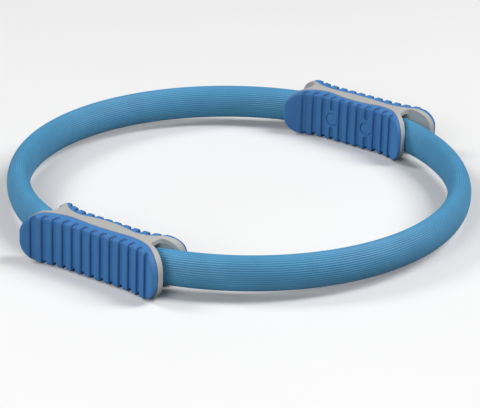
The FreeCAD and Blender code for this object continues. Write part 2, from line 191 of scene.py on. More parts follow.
def end_material(tree, inputs):
    """Closes a material: a shader with those inputs, joined to the output."""
    shader = add(tree, "ShaderNodeBsdfPrincipled", inputs)
    add(tree, "ShaderNodeOutputMaterial", {"Surface": shader})


def per_metre(size_mm):
    """The scale that gives a noise texture features of about that size."""
    return 1 / (size_mm * MM)


def fine_grain(tree, place, size_mm, roughness, strength, depth_mm):
    """Shader inputs for a mould's or a die's grain, drawn coarser than it is, so that it shows."""
    grain = add(tree, "ShaderNodeTexNoise", {"Vector": place, "Scale": per_metre(size_mm), "Detail": 2.0})
    low, high = roughness
    gloss = add(tree, "ShaderNodeMapRange", {"Value": grain, "To Min": low, "To Max": high})
    bump = add(tree, "ShaderNodeBump", {"Height": grain, "Strength": strength, "Distance": depth_mm * MM})
    return {"Roughness": gloss, "Normal": bump}


# %% [markdown]
# ## Extruded rubber for the sleeve
# The sleeve is soft rubber pushed through a die, which leaves fine ridges along its length and a satin skin.
# The ridges are real geometry, and the material paints shade on them as well: a deeper blue in the
# valleys between them and a lighter one on the crests. It also breaks up the gloss a little.


# %% Material: extruded rubber
def extruded_rubber():
    material, tree = new_material("extruded_blue_rubber")
    place = add(tree, "ShaderNodeTexCoord").outputs["Object"]
    ridge = add(tree, "ShaderNodeAttribute", attribute_name="ridge").outputs["Fac"]
    # Painted shade: the valleys between the ridges are a deeper blue than the crests.
    tone = add(tree, "ShaderNodeMix", {
        "Factor": ridge, "A": linear("#4088b6"), "B": linear("#54a0cb")}, data_type="RGBA")
    cloud = add(tree, "ShaderNodeTexNoise", {"Vector": place, "Scale": per_metre(18), "Detail": 3.0})
    shift = add(tree, "ShaderNodeMapRange", {
        "Value": cloud, "From Min": 0.3, "From Max": 0.7, "To Min": 0.94, "To Max": 1.05})
    mottled = add(tree, "ShaderNodeHueSaturation", {"Value": shift, "Color": tone})
    grain = fine_grain(tree, place, 0.6, (0.42, 0.58), 0.12, 0.05)
    end_material(tree, {"Base Color": mottled, "IOR": 1.5, **grain})
    return material


SLEEVE_RUBBER = extruded_rubber()
print("material:", SLEEVE_RUBBER.name)

# %% [markdown]
# ## The sleeve, swept along the hoop
# A tube with ridges along it is one section carried round a circle, so it suits Geometry Nodes: a circle is
# stretched to an oval, given evenly spaced points, pushed in between the ridges, and swept along an arc. The
# tree's inputs are the sizes that someone might change.


# %% Geometry Nodes helpers
def new_tree(name, inputs):
    """A Geometry Nodes tree with named inputs and one geometry output, and the sockets of its inputs."""
    tree = bpy.data.node_groups.new(name, "GeometryNodeTree")
    for label, kind in inputs.items():
        tree.interface.new_socket(label, in_out="INPUT", socket_type=f"NodeSocket{kind}")
    tree.interface.new_socket("Geometry", in_out="OUTPUT", socket_type="NodeSocketGeometry")
    return tree, add(tree, "NodeGroupInput").outputs


def end_tree(tree, geometry, material):
    """Closes a tree: instances become mesh, and the mesh gets its material."""
    real = add(tree, "GeometryNodeRealizeInstances", {"Geometry": geometry})
    dressed = add(tree, "GeometryNodeSetMaterial", {"Geometry": real, "Material": material})
    add(tree, "NodeGroupOutput", {"Geometry": dressed})


def grow(name, mesh, tree, values):
    """A plain mesh object, made by running a tree with those input values on a mesh."""
    piece = bpy.data.objects.new(name, mesh)
    bpy.context.scene.collection.objects.link(piece)
    modifier = piece.modifiers.new(tree.name, "NODES")
    modifier.node_group = tree
    for item in tree.interface.items_tree:
        if item.in_out == "INPUT" and item.name in values:
            modifier[item.identifier] = values[item.name]
    bpy.context.view_layer.update()
    made = bpy.data.meshes.new_from_object(piece.evaluated_get(bpy.context.evaluated_depsgraph_get()))
    piece.modifiers.clear()
    piece.data = made
    made.name = name
    return piece


SHARP = math.radians(35)


def soften(piece):
    """Smooth shading, with the sharp edges left sharp."""
    piece.data.shade_smooth()
    piece.data.set_sharp_from_angle(angle=SHARP)


# %% The sleeve's tree
def sleeve_tree():
    tree, given = new_tree("ribbed_sleeve", {
        "Hoop Radius": "Float", "Start": "Float", "Sweep": "Float", "Steps": "Int",
        "Width": "Float", "Height": "Float", "Ridges": "Int", "Ridge Points": "Int",
        "Ridge Depth": "Float", "Lift": "Float", "Material": "Material"})

    # The section starts as a circle one unit across, which is stretched to the oval.
    circle = add(tree, "GeometryNodeCurvePrimitiveCircle", {"Resolution": 240, "Radius": 0.5}, mode="RADIUS")
    place = add(tree, "GeometryNodeInputPosition")
    spread = add(tree, "ShaderNodeCombineXYZ", {"X": given["Width"], "Y": given["Height"]})
    stretched = add(tree, "ShaderNodeVectorMath", {0: place, 1: spread}, operation="MULTIPLY")
    oval = add(tree, "GeometryNodeSetPosition", {"Geometry": circle, "Position": stretched})
    count = add(tree, "ShaderNodeMath", {0: given["Ridges"], 1: given["Ridge Points"]}, operation="MULTIPLY")
    even = add(tree, "GeometryNodeResampleCurve", {"Curve": oval, "Count": count}, mode="COUNT")

    # Each ridge is half a wave, and the points beside its crest are pushed in, square to the oval.
    index = add(tree, "GeometryNodeInputIndex")
    turns = add(tree, "ShaderNodeMath", {0: index, 1: given["Ridge Points"]}, operation="DIVIDE")
    angle = add(tree, "ShaderNodeMath", {0: turns, 1: math.pi}, operation="MULTIPLY")
    wave = add(tree, "ShaderNodeMath", {0: angle}, operation="SINE")
    ridge = add(tree, "ShaderNodeMath", {0: wave}, operation="ABSOLUTE")
    square = add(tree, "ShaderNodeVectorMath", {0: spread, 1: spread}, operation="MULTIPLY")
    slope = add(tree, "ShaderNodeVectorMath", {0: place, 1: square}, operation="DIVIDE")
    outward = add(tree, "ShaderNodeVectorMath", {0: slope}, operation="NORMALIZE")
    below = add(tree, "ShaderNodeMath", {0: ridge, 1: 1.0}, operation="SUBTRACT")
    push = add(tree, "ShaderNodeMath", {0: below, 1: given["Ridge Depth"]}, operation="MULTIPLY")
    inward = add(tree, "ShaderNodeVectorMath", {0: outward, "Scale": push}, operation="SCALE")
    # The ridge's height is kept for the material, which paints shade into the valleys with it.
    noted = add(tree, "GeometryNodeStoreNamedAttribute", {
        "Geometry": even, "Name": "ridge", "Value": ridge}, data_type="FLOAT", domain="POINT")
    section = add(tree, "GeometryNodeSetPosition", {"Geometry": noted, "Offset": inward})

    # The section is swept along an arc, and the tube is lifted to the middle of the grips.
    arc = add(tree, "GeometryNodeCurveArc", {
        "Resolution": given["Steps"], "Radius": given["Hoop Radius"],
        "Start Angle": given["Start"], "Sweep Angle": given["Sweep"]}, mode="RADIUS")
    path = add(tree, "GeometryNodeSetCurveNormal", {"Curve": arc}, mode="Z_UP")
    tube = add(tree, "GeometryNodeCurveToMesh", {
        "Curve": path, "Profile Curve": section, "Fill Caps": True})
    lift = add(tree, "ShaderNodeCombineXYZ", {"Z": given["Lift"]})
    lifted = add(tree, "GeometryNodeTransform", {"Geometry": tube, "Translation": lift})
    end_tree(tree, lifted, given["Material"])
    return tree


SLEEVE_TREE = sleeve_tree()
print("tree:", SLEEVE_TREE.name, "with", len(SLEEVE_TREE.nodes), "nodes")

# %% [markdown]
# ## The sleeve in four quarters
# When the grips are squeezed together the hoop bends. A piece can follow only one joint, so each half of the
# sleeve is made in two quarters that meet at X = 0. The ends are squared off against the grip's web and
# pinched between its plates.

# %% Sweep the sleeve's quarters
SLEEVE_WIDTH = 18.8 * MM
SLEEVE_HEIGHT = 28 * MM
WEB_HALF = 47 * MM
GAP = 0.3 * MM
PINCH_GAP = 0.9 * MM
SLEEVE_STOP = WEB_HALF + GAP
SLEEVE_END = math.asin(SLEEVE_STOP / HOOP_RADIUS)
SQUARED_PART = math.radians(9)
QUARTER = math.pi / 2 - SLEEVE_END
STARTS = {
    ("back", "right"): SLEEVE_END,
    ("back", "left"): math.pi / 2,
    ("front", "left"): math.pi + SLEEVE_END,
    ("front", "right"): 1.5 * math.pi,
}
# The ridges are drawn a little coarser than they are, so that they show.
SLEEVE_SIZES = {
    "Hoop Radius": HOOP_RADIUS, "Sweep": QUARTER, "Steps": 120, "Width": SLEEVE_WIDTH,
    "Height": SLEEVE_HEIGHT, "Ridges": 42, "Ridge Points": 7, "Ridge Depth": 0.28 * MM,
    "Lift": MID_HEIGHT, "Material": SLEEVE_RUBBER}
STILL = Vector((0, 0, MID_HEIGHT))


def bend(piece):
    """Bakes the piece's place into its mesh."""
    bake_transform(piece)


def fit_ends(mesh):
    """Squares off the sleeve's end at the grip's web, and keeps it between the grip's plates."""
    points = np.empty(len(mesh.vertices) * 3)
    mesh.vertices.foreach_get("co", points)
    points = points.reshape(-1, 3)
    signs = np.sign(points[:, :2])
    out, along = np.abs(points[:, :2]).T
    radius, angle = np.hypot(out, along), np.arctan2(along, out)
    share = np.clip(1 - (angle - SLEEVE_END) / SQUARED_PART, 0, 1)
    angle = angle + share * (np.arcsin(SLEEVE_STOP / radius) - SLEEVE_END)
    out, along = radius * np.cos(angle), radius * np.sin(angle)
    near = along < INNER.half_length
    inside, outside = INNER.back(along[near]) + PINCH_GAP, OUTER.back(along[near]) - GAP
    out[near] = np.clip(out[near], inside, outside)
    points[:, 0], points[:, 1] = signs[:, 0] * out, signs[:, 1] * along
    mesh.vertices.foreach_set("co", points.ravel())
    mesh.update()


for (half, hand), start in STARTS.items():
    empty = bpy.data.meshes.new("empty")
    sleeve = grow(f"{half}_sleeve_{hand}", empty, SLEEVE_TREE, {**SLEEVE_SIZES, "Start": start})
    fit_ends(sleeve.data)
    soften(sleeve)
    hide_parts(f"{half}_sleeve")
    bend(sleeve)
    print(sleeve.name, len(sleeve.data.polygons), "faces")

# %% [markdown]
# ## Pultruded glass fibre for the spring strip
# The strip is glass fibre drawn through resin. It is a cream colour, and bundles of fibres show as streaks
# along its length. Hardly any of it can be seen: it is inside the sleeve, and its ends are inside the grips.


# %% Material: pultruded glass fibre
def pultruded_fibre():
    material, tree = new_material("pultruded_glass_fibre")
    place = add(tree, "ShaderNodeTexCoord").outputs["Object"]
    across = add(tree, "ShaderNodeMapping", {
        "Vector": place, "Scale": (per_metre(40), per_metre(40), per_metre(0.5))})
    fibre = add(tree, "ShaderNodeTexNoise", {"Vector": across, "Scale": 1.0, "Detail": 4.0})
    tone = add(tree, "ShaderNodeMix", {
        "Factor": fibre, "A": linear("#b3a583"), "B": linear("#d8cfb2")}, data_type="RGBA")
    bump = add(tree, "ShaderNodeBump", {"Height": fibre, "Strength": 0.2, "Distance": 0.05 * MM})
    end_material(tree, {"Base Color": tone, "Normal": bump, "Roughness": 0.4, "IOR": 1.55})
    return material


STRIP_FIBRE = pultruded_fibre()
print("material:", STRIP_FIBRE.name)

# %% [markdown]
# ## The spring strips
# The strips already have the right shape in the frame, drilled tangs and all, but they have to bend with the
# hoop. So each one is copied, its loose triangles are joined up, and it is cut in two at X = 0.

# %% Copy a frame node as a clean mesh
MERGE = 0.002 * MM
FLAT = math.radians(0.4)


def copy_of(node):
    """The mesh of a frame node with its triangles joined and its flat faces made whole."""
    solid = bmesh.new()
    solid.from_mesh(NODES[node].data)
    bmesh.ops.remove_doubles(solid, verts=solid.verts, dist=MERGE)
    bmesh.ops.dissolve_limit(
        solid, angle_limit=FLAT, verts=solid.verts, edges=solid.edges, use_dissolve_boundaries=False)
    return solid


def new_piece(name, solid, material):
    """A piece made from a bmesh, with its material."""
    mesh = bpy.data.meshes.new(name)
    solid.to_mesh(mesh)
    solid.free()
    mesh.materials.clear()
    mesh.materials.append(material)
    piece = bpy.data.objects.new(name, mesh)
    bpy.context.scene.collection.objects.link(piece)
    return piece


# %% Cut the strips at the middle of the hoop
for half in ("front", "back"):
    for hand, way in HANDS.items():
        solid = copy_of(f"{half}_core")
        halved = bmesh.ops.bisect_plane(
            solid, geom=[*solid.verts, *solid.edges, *solid.faces], plane_co=(0, 0, 0), plane_no=(-way, 0, 0),
            clear_outer=True)
        rim = [edge for edge in halved["geom_cut"] if isinstance(edge, bmesh.types.BMEdge)]
        bmesh.ops.contextual_create(solid, geom=rim)
        strip = new_piece(f"{half}_core_{hand}", solid, STRIP_FIBRE)
        soften(strip)
        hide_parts(f"{half}_core")
        bend(strip)
        print(strip.name, len(strip.data.polygons), "faces")

# %% [markdown]
# ## Moulded ABS for the shells
# The grey shells are injection-moulded ABS. The mould's sides are spark-eroded, which leaves a fine, even
# grain and a soft gloss.


# %% Material: moulded ABS
def moulded_abs():
    material, tree = new_material("moulded_grey_abs")
    place = add(tree, "ShaderNodeTexCoord").outputs["Object"]
    cloud = add(tree, "ShaderNodeTexNoise", {"Vector": place, "Scale": per_metre(25), "Detail": 2.0})
    tone = add(tree, "ShaderNodeMix", {
        "Factor": cloud, "A": linear("#b5b5b2"), "B": linear("#c4c4c1")}, data_type="RGBA")
    grain = fine_grain(tree, place, 0.5, (0.4, 0.56), 0.1, 0.04)
    end_material(tree, {"Base Color": tone, "IOR": 1.54, **grain})
    return material


SHELL_ABS = moulded_abs()
print("material:", SHELL_ABS.name)

# %% [markdown]
# ## The shells, with open mouths and softened edges
# The sleeve goes into each end of a grip through a rounded mouth that is a little taller than the sleeve, and
# the inner plate's back is hollowed inside a rim, so a dark gap shows over the sleeve. Each shell is copied
# from the frame, and a Boolean modifier cuts the mouths. A moulded shell has no knife edges, so a Bevel
# modifier rounds the edges that are marked for it: less where a pad closes up, and not at the parting, where
# the shells meet.

# %% Cut the mouths
CLOSE = 0.05 * MM
MOUTH_HALF_HEIGHT = 17 * MM
MOUTH_CORNER = 3.5 * MM
MOUTH_PLACES = np.linspace(40 * MM, 55 * MM, 16)
PLATE_RIM = 2.5 * MM
PLATE_RECESS = 2.0 * MM
RECESS_START = 46 * MM
RECESS_RAMP = 5 * MM


def mouth_outline(along):
    """The cut's outline at a place along the grip. Past the web it also goes into the inner plate."""
    sunk = PLATE_RECESS * np.clip((along - RECESS_START) / RECESS_RAMP, 0, 1)
    inner, outer = INNER.back(along) - sunk, OUTER.back(along) - CLOSE
    high = min(MOUTH_HALF_HEIGHT, INNER.height(along) - PLATE_RIM)
    turn = np.linspace(0, math.pi / 2, 7)
    across = (outer - inner) / 2 - MOUTH_CORNER * (1 - np.cos(turn))
    up = high - MOUTH_CORNER * (1 - np.sin(turn))
    quarter = np.column_stack([across, up])
    half = np.vstack([quarter, quarter[::-1] * (-1, 1)])
    return np.vstack([half, -half]) + ((inner + outer) / 2, MID_HEIGHT)


def mouth_cutter(way):
    """A bar at each end of a grip's web, for cutting the mouths."""
    bars = bmesh.new()
    for end in (1, -1):
        loops = []
        for along in MOUTH_PLACES:
            loops.append([bars.verts.new((way * out, end * along, up)) for out, up in mouth_outline(along)])
        for near, far in zip(loops, loops[1:]):
            for corner in range(len(near)):
                after = (corner + 1) % len(near)
                bars.faces.new((near[corner], near[after], far[after], far[corner]))
        bars.faces.new(loops[0])
        bars.faces.new(loops[-1])
    bmesh.ops.recalc_face_normals(bars, faces=bars.faces)
    return new_piece("mouth_cutter", bars, SHELL_ABS)


def take_away(piece, cutter):
    """The piece's mesh with the cutter taken away from it, as a bmesh."""
    taking = piece.modifiers.new("taking", "BOOLEAN")
    taking.operation = "DIFFERENCE"
    taking.solver = "EXACT"
    taking.object = cutter
    bpy.context.view_layer.update()
    solid = bmesh.new()
    solid.from_object(piece, bpy.context.evaluated_depsgraph_get())
    piece.modifiers.clear()
    bmesh.ops.remove_doubles(solid, verts=solid.verts, dist=MERGE)
    return solid


# %% Round the shells' edges
EDGE_ROUND = 1.2 * MM
SEAT_SHARE = 0.25


def mark_edges(solid, side):
    """Marks the sharp edges for the bevel, apart from those at the parting."""
    weight = solid.edges.layers.float.new("bevel_weight_edge")
    for edge in solid.edges:
        ends = [(abs(vert.co.x), vert.co.y) for vert in edge.verts]
        parted = all(abs(out - PARTING) < CLOSE for out, along in ends)
        seated = all(abs(out - side.seat(along)) < CLOSE for out, along in ends)
        sharp = len(edge.link_faces) == 2 and edge.calc_face_angle() > SHARP
        edge[weight] = float(sharp and not parted) * (SEAT_SHARE if seated else 1.0)


for hand, way in HANDS.items():
    cutter = mouth_cutter(way)
    for side in (OUTER, INNER):
        node = f"{hand}_{side.name}_shell"
        shell = new_piece(f"{node}_skin", copy_of(node), SHELL_ABS)
        solid = take_away(shell, cutter)
        mark_edges(solid, side)
        solid.to_mesh(shell.data)
        solid.free()
        rounding = shell.modifiers.new("rounding", "BEVEL")
        rounding.width = EDGE_ROUND
        rounding.segments = 3
        rounding.limit_method = "WEIGHT"
        rounding.use_clamp_overlap = True
        soften(shell)
        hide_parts(node)
        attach(shell, f"{hand}_grip")
        print(shell.name, len(shell.data.polygons), "faces before the bevel")
    bpy.data.meshes.remove(cutter.data)

# %% [markdown]
# ## Moulded rubber for the pads
# The pads are a darker, matt rubber, pressed in a blasted mould. The grain takes the shine off. The walls of
# the grooves carry painted shade: they are a deeper blue than the ribs and floors.


# %% Material: moulded rubber
def moulded_rubber():
    material, tree = new_material("moulded_blue_rubber")
    place = add(tree, "ShaderNodeTexCoord").outputs["Object"]
    groove = add(tree, "ShaderNodeAttribute", attribute_name="groove").outputs["Fac"]
    cloud = add(tree, "ShaderNodeTexNoise", {"Vector": place, "Scale": per_metre(14), "Detail": 3.0})
    tone = add(tree, "ShaderNodeMix", {
        "Factor": cloud, "A": linear("#3e7ebe"), "B": linear("#488aca")}, data_type="RGBA")
    # Painted shade on the walls of the grooves: strongest halfway down a groove, none on the ribs and floors.
    wall = add(tree, "ShaderNodeMath", {0: groove, 1: 0.5}, operation="PINGPONG")
    deep = add(tree, "ShaderNodeMix", {
        "Factor": wall, "A": tone, "B": linear("#10356c")}, data_type="RGBA")
    grain = fine_grain(tree, place, 0.45, (0.5, 0.66), 0.18, 0.06)
    end_material(tree, {"Base Color": deep, "IOR": 1.5, "Diffuse Roughness": 0.8, **grain})
    return material


PAD_RUBBER = moulded_rubber()
print("material:", PAD_RUBBER.name)

# %% [markdown]
# ## A smooth blank for each pad
# A pad starts as a smooth blank. Stations along the grip each hold one closed ring of points: over the front,
# which falls away near its rim, down the wall to the shell, and back along the shell's face. The stations lie
# close together where a groove will have its walls, so that the grooves come out crisp.

# %% Stations along a pad
GROOVE_HALF = 1.95 * MM
GROOVE_LIP = 0.6 * MM
GROOVE_DRAFT = 0.15 * MM
GROOVE_FLOOR = 0.45 * MM
GROOVES = {
    "outer": {"last": 6, "pitch": 9.0 * MM, "depth": 2.4 * MM, "rim": 5.2 * MM},
    "inner": {"last": 5, "pitch": 8.7 * MM, "depth": 2.1 * MM, "rim": 3.2 * MM},
}
FOOT = GROOVE_HALF - GROOVE_DRAFT
GROOVE_OFFSETS = np.concatenate([
    np.linspace(0, FOOT - GROOVE_FLOOR, 4),
    np.linspace(FOOT - GROOVE_FLOOR, FOOT, 5)[1:],
    np.linspace(GROOVE_HALF, GROOVE_HALF + GROOVE_LIP, 6)])
RIB_STATIONS = 5
TIP_STATIONS = 26


def stations(side):
    """Places along the grip: close together at the grooves and at the tips."""
    last, pitch = GROOVES[side.name]["last"], GROOVES[side.name]["pitch"]
    mouth = GROOVE_HALF + GROOVE_LIP
    places = []
    for step in range(-last, last + 1):
        places += [step * pitch - GROOVE_OFFSETS, step * pitch + GROOVE_OFFSETS]
        if step < last:
            places.append(np.linspace(step * pitch + mouth, (step + 1) * pitch - mouth, RIB_STATIONS))
    tip = last * pitch + mouth
    cap = tip + (side.half_length - tip) * np.sin(np.linspace(0, math.pi / 2, TIP_STATIONS))
    places += [cap, -cap]
    return np.unique(np.round(np.concatenate(places), 7))


# %% Rings of the blank
PAD_EDGE = 3.0 * MM
EDGE_ROWS = 11
FRONT_ROWS = 76
WALL_ROWS = 22
SEAT_ROWS = 9


def rim_fall(side, along, up):
    """How far the front falls away near the rim of the pad's outline."""
    across = np.abs(along) - (side.half_length - side.corner)
    above = np.abs(up) - (side.half_height - side.corner)
    corner = np.hypot(np.maximum(across, 0), np.maximum(above, 0))
    inside = side.corner - corner - np.minimum(np.maximum(across, above), 0)
    short = np.clip(PAD_EDGE - inside, 0, PAD_EDGE)
    return PAD_EDGE - np.sqrt(PAD_EDGE ** 2 - short ** 2)


def ring_at(side, place):
    """One closed ring of the blank: down the front, back below, up the seat and out over the top."""
    high = side.height(place)
    turn = np.linspace(0, math.pi / 2, EDGE_ROWS, endpoint=False)
    edge = np.minimum(PAD_EDGE * (1 - np.cos(turn)), high)
    field = np.zeros(FRONT_ROWS)
    if high > PAD_EDGE:
        field = np.linspace(high - PAD_EDGE, PAD_EDGE - high, FRONT_ROWS)
    up = np.concatenate([high - edge, field, edge[::-1] - high])
    out = side.front(place) - side.way * rim_fall(side, place, up)
    wall = out[-1] + (side.seat(place) - out[-1]) * np.linspace(0, 1, WALL_ROWS)[1:]
    seat = high * np.linspace(-1, 1, SEAT_ROWS)[1:-1]
    out = np.concatenate([out, wall, np.full(len(seat), side.seat(place)), wall[::-1]])
    up = np.concatenate([up, np.full(len(wall), -high), seat, np.full(len(wall), high)])
    return np.column_stack([out, np.full(len(out), place), up + MID_HEIGHT])


def blank(side):
    """The closed, smooth mesh of a pad at +X, with the level of its seat kept as an attribute."""
    along = stations(side)
    rings = np.array([ring_at(side, place) for place in along])
    count, size = rings.shape[:2]
    index = np.arange(count * size).reshape(count, size)
    here, there = index[:-1], index[1:]
    quads = np.stack([here, np.roll(here, -1, 1), np.roll(there, -1, 1), there], -1).reshape(-1, 4)
    faces = [*quads.tolist(), index[0].tolist(), index[-1].tolist()]
    mesh = bpy.data.meshes.new(f"{side.name}_blank")
    mesh.from_pydata(rings.reshape(-1, 3).tolist(), [], faces)
    level = mesh.attributes.new("seat", "FLOAT", "POINT")
    level.data.foreach_set("value", np.repeat(side.way * side.seat(along), size).astype(np.float32))
    solid = bmesh.new()
    solid.from_mesh(mesh)
    bmesh.ops.recalc_face_normals(solid, faces=solid.faces)
    solid.to_mesh(mesh)
    solid.free()
    return mesh


# %% [markdown]
# ## Grooves cut by a rule
# The grooves repeat, so a Geometry Nodes tree cuts them. It finds how far each point is from the nearest
# groove's middle line, works out how deep the groove is there, and sinks the point that far. A groove goes on
# over the top and the bottom of the pad and has a round end there. On the inner pads two grooves also stop
# short of a plug, with round ends, and the tree bores the plugs' holes.


# %% How far a point is from its groove
def groove_distance(tree, given):
    """Nodes for a point's distance from its groove's middle line, and for its height above the seat."""
    parts = add(tree, "ShaderNodeSeparateXYZ", {0: add(tree, "GeometryNodeInputPosition")}).outputs
    share = add(tree, "ShaderNodeMath", {0: parts["Y"], 1: given["Pitch"]}, operation="DIVIDE")
    nearest = add(tree, "ShaderNodeMath", {0: share}, operation="ROUND")
    first = add(tree, "ShaderNodeMath", {0: given["Last"], 1: -1.0}, operation="MULTIPLY")
    number = add(tree, "ShaderNodeClamp", {"Value": nearest, "Min": first, "Max": given["Last"]})
    middle = add(tree, "ShaderNodeMath", {0: number, 1: given["Pitch"]}, operation="MULTIPLY")
    aside = add(tree, "ShaderNodeMath", {0: parts["Y"], 1: middle}, operation="SUBTRACT")

    # Every groove ends in a round, a rim's width above the seat.
    seat = add(tree, "GeometryNodeInputNamedAttribute", {"Name": "seat"}, data_type="FLOAT")
    out = add(tree, "ShaderNodeMath", {0: parts["X"], 1: given["Way"]}, operation="MULTIPLY")
    above = add(tree, "ShaderNodeMath", {0: out, 1: seat}, operation="SUBTRACT")
    end = add(tree, "ShaderNodeMath", {0: given["Rim"], 1: given["Half Width"]}, operation="ADD")
    below_end = add(tree, "ShaderNodeMath", {0: end, 1: above}, operation="SUBTRACT")
    past_end = add(tree, "ShaderNodeMath", {0: below_end, 1: 0.0}, operation="MAXIMUM")

    # The two grooves that meet a plug also end in a round beside it.
    level = add(tree, "ShaderNodeMath", {0: parts["Z"], 1: given["Mid Height"]}, operation="SUBTRACT")
    over = add(tree, "ShaderNodeMath", {0: level}, operation="ABSOLUTE")
    count = add(tree, "ShaderNodeMath", {0: number}, operation="ABSOLUTE")
    at_plug = add(tree, "ShaderNodeMath", {0: count, 1: given["Plug Groove"], 2: 0.5}, operation="COMPARE")
    clear = add(tree, "ShaderNodeMath", {0: given["Plug Clear"], 1: given["Half Width"]}, operation="ADD")
    stop = add(tree, "ShaderNodeMath", {0: at_plug, 1: clear}, operation="MULTIPLY")
    inside_stop = add(tree, "ShaderNodeMath", {0: stop, 1: over}, operation="SUBTRACT")
    near_plug = add(tree, "ShaderNodeMath", {0: inside_stop, 1: 0.0}, operation="MAXIMUM")
    gap = add(tree, "ShaderNodeCombineXYZ", {"X": past_end, "Y": aside, "Z": near_plug})
    away = add(tree, "ShaderNodeVectorMath", {0: gap}, operation="LENGTH")
    return away, above


# %% How deep the groove is there
def groove_depth(tree, given, away, above):
    """Nodes for the way out of the pad, how far a point is sunk, and the groove's full depth there."""
    facing = add(tree, "ShaderNodeSeparateXYZ", {0: add(tree, "GeometryNodeInputNormal")}).outputs
    level = add(tree, "ShaderNodeCombineXYZ", {"X": facing["X"], "Z": facing["Z"]})
    outward = add(tree, "ShaderNodeVectorMath", {0: level}, operation="NORMALIZE")
    tilt = add(tree, "ShaderNodeSeparateXYZ", {0: outward}).outputs["Z"]
    upright = add(tree, "ShaderNodeMath", {0: tilt}, operation="ABSOLUTE")
    full = add(tree, "ShaderNodeMix", {
        "Factor": upright, "A": given["Depth"], "B": given["Drop"]}, data_type="FLOAT")
    run_start = add(tree, "ShaderNodeMath", {0: given["Rim"], 1: given["Run Out"]}, operation="ADD")
    run_out = add(tree, "ShaderNodeMapRange", {
        "Value": above, "From Min": given["Rim"], "From Max": run_start, "To Min": 0.5, "To Max": 1.0})
    depth = add(tree, "ShaderNodeMath", {0: full, 1: run_out}, operation="MULTIPLY")

    # Across its width a groove has a rounded lip, a steep wall and a rounded floor.
    mouth = add(tree, "ShaderNodeMath", {0: given["Half Width"], 1: given["Lip"]}, operation="ADD")
    foot = add(tree, "ShaderNodeMath", {0: given["Half Width"], 1: given["Draft"]}, operation="SUBTRACT")
    flat = add(tree, "ShaderNodeMath", {0: foot, 1: given["Floor"]}, operation="SUBTRACT")
    rounds = add(tree, "ShaderNodeMath", {0: given["Lip"], 1: given["Floor"]}, operation="ADD")
    straight = add(tree, "ShaderNodeMath", {0: depth, 1: rounds}, operation="SUBTRACT")
    sunk = 0.0
    for start, end, drop, shape in (
            (mouth, given["Half Width"], given["Lip"], "SMOOTHSTEP"),
            (given["Half Width"], foot, straight, "LINEAR"),
            (foot, flat, given["Floor"], "SMOOTHSTEP")):
        part = add(tree, "ShaderNodeMapRange", {
            "Value": away, "From Min": start, "From Max": end, "To Max": drop}, interpolation_type=shape)
        sunk = add(tree, "ShaderNodeMath", {0: sunk, 1: part}, operation="ADD")
    return outward, sunk, depth


# %% The groove tree
DRILL_SIDES = 72
DRILL_LENGTH = 40 * MM


def bore(tree, given, grooved):
    """Nodes that bore the holes that the two plugs go in."""
    drill = add(tree, "GeometryNodeMeshCylinder", {
        "Vertices": DRILL_SIDES, "Radius": given["Hole Radius"], "Depth": DRILL_LENGTH})
    drills = add(tree, "GeometryNodeJoinGeometry")
    for way in (1.0, -1.0):
        aside = add(tree, "ShaderNodeMath", {0: given["Hole Place"], 1: way}, operation="MULTIPLY")
        spot = add(tree, "ShaderNodeCombineXYZ", {
            "X": given["Hole Out"], "Y": aside, "Z": given["Mid Height"]})
        turned = add(tree, "GeometryNodeTransform", {
            "Geometry": drill, "Translation": spot, "Rotation": (0, math.pi / 2, 0)})
        tree.links.new(turned.outputs[0], drills.inputs[0])
    return add(tree, "GeometryNodeMeshBoolean", {
        "Mesh 1": grooved, "Mesh 2": drills}, operation="DIFFERENCE", solver="EXACT")


def groove_tree():
    tree, given = new_tree("cut_grooves", {
        "Geometry": "Geometry", "Pitch": "Float", "Last": "Float", "Half Width": "Float", "Lip": "Float",
        "Draft": "Float", "Floor": "Float", "Depth": "Float", "Drop": "Float", "Rim": "Float",
        "Run Out": "Float", "Way": "Float", "Mid Height": "Float", "Plugs": "Bool",
        "Plug Groove": "Float", "Plug Clear": "Float", "Hole Radius": "Float", "Hole Place": "Float",
        "Hole Out": "Float", "Material": "Material"})
    away, above = groove_distance(tree, given)
    outward, sunk, depth = groove_depth(tree, given, away, above)

    # The material paints shade on the walls from how deep a point went, as a share of the groove's depth.
    share = add(tree, "ShaderNodeMath", {0: sunk, 1: depth}, operation="DIVIDE")
    noted = add(tree, "GeometryNodeStoreNamedAttribute", {
        "Geometry": given["Geometry"], "Name": "groove", "Value": share}, data_type="FLOAT", domain="POINT")
    back = add(tree, "ShaderNodeMath", {0: sunk, 1: -1.0}, operation="MULTIPLY")
    inward = add(tree, "ShaderNodeVectorMath", {0: outward, "Scale": back}, operation="SCALE")
    grooved = add(tree, "GeometryNodeSetPosition", {"Geometry": noted, "Offset": inward})
    chosen = add(tree, "GeometryNodeSwitch", {
        "Switch": given["Plugs"], "False": grooved, "True": bore(tree, given, grooved)},
        input_type="GEOMETRY")
    end_tree(tree, chosen, given["Material"])
    return tree


GROOVE_TREE = groove_tree()
print("tree:", GROOVE_TREE.name, "with", len(GROOVE_TREE.nodes), "nodes")

